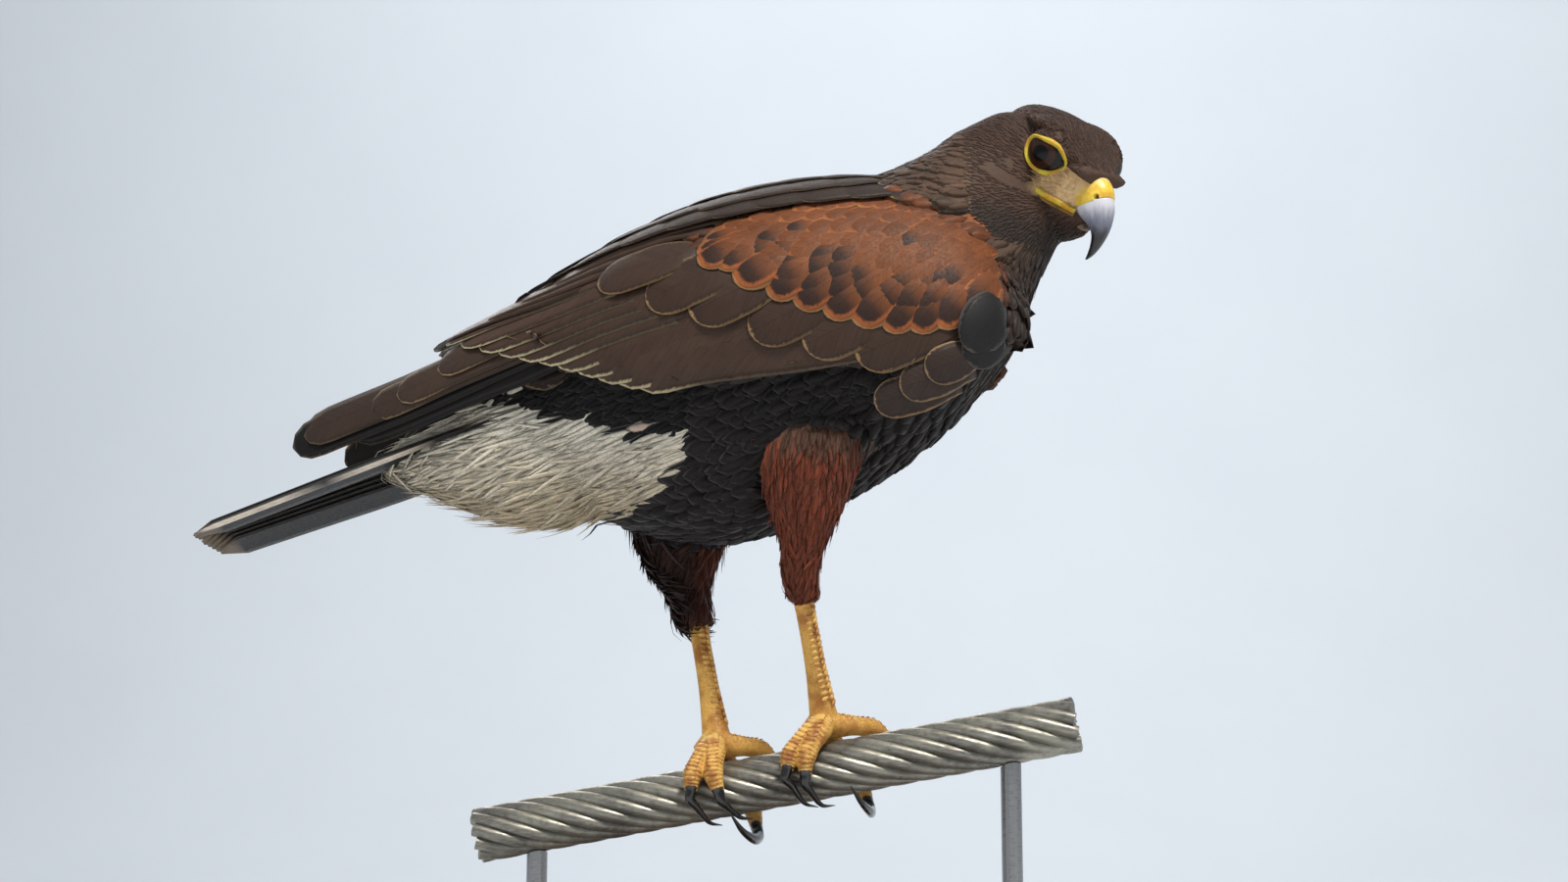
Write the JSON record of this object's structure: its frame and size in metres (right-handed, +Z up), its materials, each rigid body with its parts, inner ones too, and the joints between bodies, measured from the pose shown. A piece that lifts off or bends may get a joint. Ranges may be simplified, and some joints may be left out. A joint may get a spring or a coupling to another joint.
{
  "type": "harris hawk figure on a cable perch with a display stand",
  "caption": "Life-size standing Harris hawk with folded wings gripping a short twisted steel cable, held on a plain flat base with rods.",
  "frame": {"origin": "middle of the underside of the stand's base, on the surface it rests on", "axes": "+X the way the bird's body faces and along the perch, +Z up, -Y the bird's right side"},
  "size_m": [0.4204, 0.15, 0.3874],
  "materials": {
    "head_feathers": "matte",
    "neck_feathers": "matte",
    "body_feathers": "matte",
    "wing_feathers": "matte",
    "tail_feathers": "matte",
    "thigh_feathers": "matte",
    "leg_skin": "satin",
    "cere_skin": "satin",
    "bill_horn": "gloss",
    "eye_surface": "gloss",
    "perch_steel": "satin",
    "stand_paint": "satin",
    "stand_steel": "satin",
    "claw_horn": "gloss"
  },
  "bodies": {
    "root": {"head": "head_feathers", "neck": "neck_feathers", "torso": "body_feathers", "wing_right": "wing_feathers", "wing_left": "wing_feathers", "tail": "tail_feathers", "thigh_right": "thigh_feathers", "thigh_left": "thigh_feathers", "tarsus_right": "leg_skin", "tarsus_left": "leg_skin", "foot_right": "leg_skin", "foot_left": "leg_skin", "cere": "cere_skin", "bill_upper": "bill_horn", "bill_lower": "bill_horn", "eye_right": "eye_surface", "eye_left": "eye_surface", "perch": "perch_steel", "stand_base": "stand_paint", "stand_rod_1": "stand_steel", "stand_rod_2": "stand_steel", "claw_right_inner": "claw_horn", "claw_right_middle": "claw_horn", "claw_right_outer": "claw_horn", "claw_right_hind": "claw_horn", "claw_left_inner": "claw_horn", "claw_left_middle": "claw_horn", "claw_left_outer": "claw_horn", "claw_left_hind": "claw_horn"}
  },
  "joints": []
}
